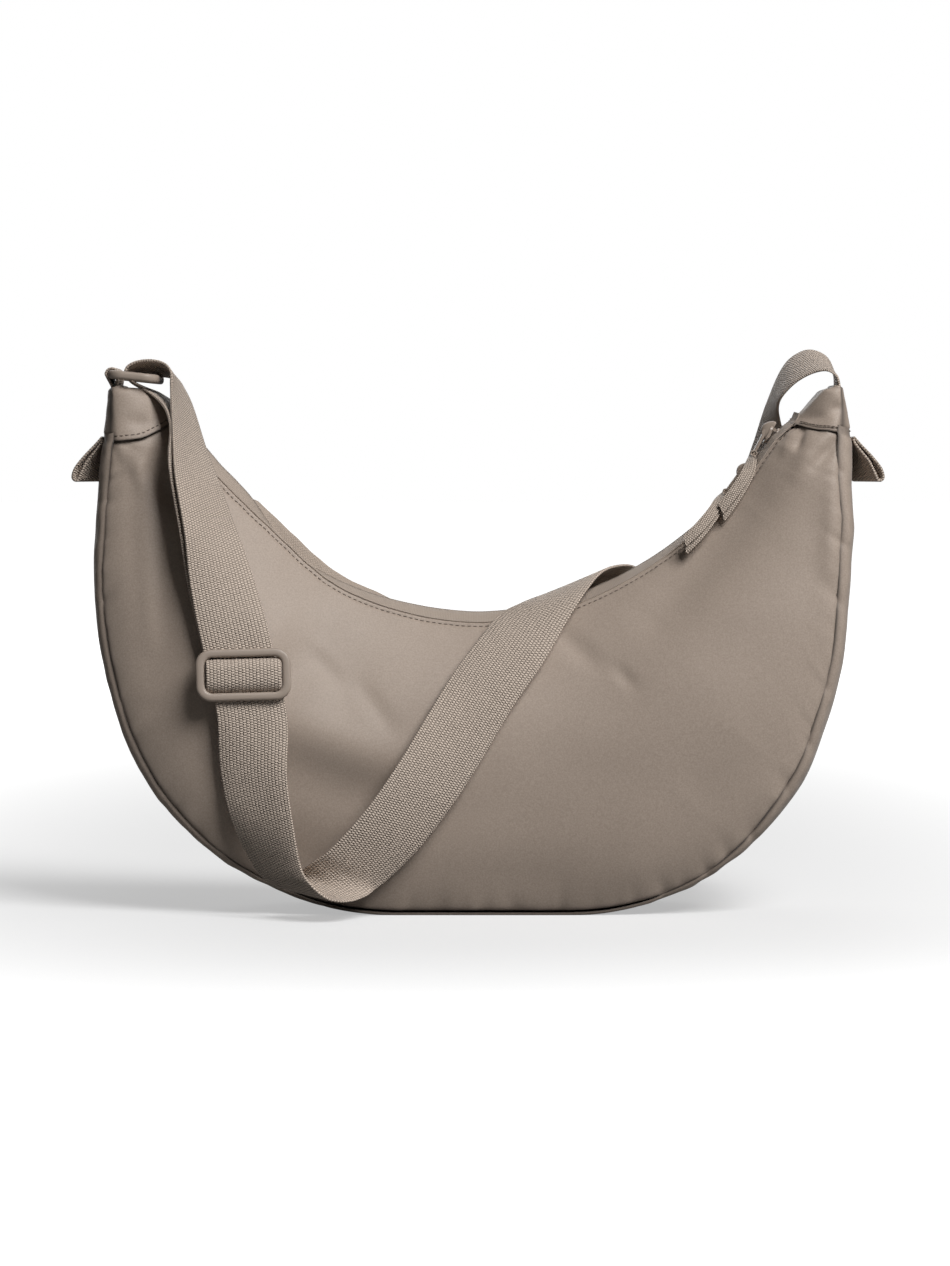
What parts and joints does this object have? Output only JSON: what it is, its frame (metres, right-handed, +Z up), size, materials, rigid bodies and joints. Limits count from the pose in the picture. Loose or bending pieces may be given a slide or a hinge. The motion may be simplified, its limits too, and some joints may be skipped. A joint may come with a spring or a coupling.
{
  "type": "half moon bag",
  "caption": "Crescent shaped zipped fabric shoulder bag with tip caps, side tabs and an adjustable webbing strap.",
  "frame": {"origin": "middle of the base, on the surface the bag stands on", "axes": "+X to the right seen from the front, along the bag's width; +Y to the back; +Z up"},
  "size_m": [0.4556, 0.1638, 0.3134],
  "materials": {
    "shell": "satin nylon, taupe",
    "lining": "plain lining cloth, taupe",
    "zip_tape": "woven zip tape, taupe",
    "zip_coil": "nylon coil, taupe",
    "slider_metal": "matt painted, taupe",
    "ribbon": "herringbone ribbon, taupe",
    "buckle": "matt moulded, taupe",
    "webbing": "ribbed webbing, taupe"
  },
  "bodies": {
    "bag": {"front_panel": "shell", "back_panel": "shell", "gusset": "shell", "left_tip_gusset": "shell", "right_tip_gusset": "shell", "right_tip_front": "shell", "right_tip_back": "shell", "left_tip_front": "shell", "left_tip_back": "shell", "front_lining": "lining", "back_lining": "lining", "gusset_lining": "lining", "slip_pocket": "lining", "zip_tape_front": "zip_tape", "zip_tape_back": "zip_tape", "zip_coil_front": "zip_coil", "zip_coil_back": "zip_coil", "zip_end_stops": "slider_metal", "strap_front_drop": "webbing", "strap_front_fold": "webbing", "strap_front_rise": "webbing", "strap_rim_crest": "webbing", "strap_back_drop": "webbing", "strap_back_fold": "webbing", "strap_back_rise": "webbing", "strap_tip_arch": "webbing", "strap_return": "webbing", "ring_tab": "webbing", "right_side_tab": "webbing", "left_side_tab": "webbing"},
    "lead_slider": {"lead_slider": "slider_metal"},
    "lead_tab": {"lead_pull_tab": "slider_metal"},
    "lead_puller": {"lead_ribbon": "ribbon"},
    "end_slider": {"end_slider": "slider_metal"},
    "end_tab": {"end_pull_tab": "slider_metal"},
    "end_puller": {"end_ribbon": "ribbon"},
    "adjuster": {"strap_adjuster": "buckle", "adjuster_wrap": "webbing"},
    "ring": {"strap_ring": "buckle", "strap_ring_loop": "webbing"}
  },
  "joints": [
    {"name": "lead_slider_run", "type": "hinge", "parent": "bag", "child": "lead_slider", "pos_m": [0, 0, 0.349], "axis": [0, -1, 0], "range_deg": [-80, 0], "deforming": ["strap_rim_crest"]},
    {"name": "lead_tab_swing", "type": "hinge", "parent": "lead_slider", "child": "lead_tab", "pos_m": [0.14641, 0, 0.24377], "axis": [0, 1, 0], "range_deg": [0, 110]},
    {"name": "lead_ribbon_swing", "type": "hinge", "parent": "lead_tab", "child": "lead_puller", "pos_m": [0.13859, 0, 0.23289], "axis": [0, 1, 0], "range_deg": [0, 60]},
    {"name": "end_slider_run", "type": "hinge", "parent": "bag", "child": "end_slider", "pos_m": [0, 0, 0.349], "axis": [0, -1, 0], "range_deg": [0, 1.39]},
    {"name": "end_tab_swing", "type": "hinge", "parent": "end_slider", "child": "end_tab", "pos_m": [0.16022, 0, 0.26631], "axis": [0, 1, 0], "range_deg": [0, 110]},
    {"name": "end_ribbon_swing", "type": "hinge", "parent": "end_tab", "child": "end_puller", "pos_m": [0.15407, 0, 0.2544], "axis": [0, 1, 0], "range_deg": [0, 60]},
    {"name": "adjuster_slide", "type": "slide", "parent": "bag", "child": "adjuster", "axis": [-0.2155, 0.1339, 0.9673], "range_m": [-0.03, 0.03], "deforming": ["strap_front_drop", "strap_return"]},
    {"name": "ring_swing", "type": "hinge", "parent": "bag", "child": "ring", "pos_m": [-0.20293, 0, 0.29823], "axis": [0, -1, 0], "range_deg": [0, 12], "deforming": ["strap_front_drop", "strap_return"]}
  ]
}
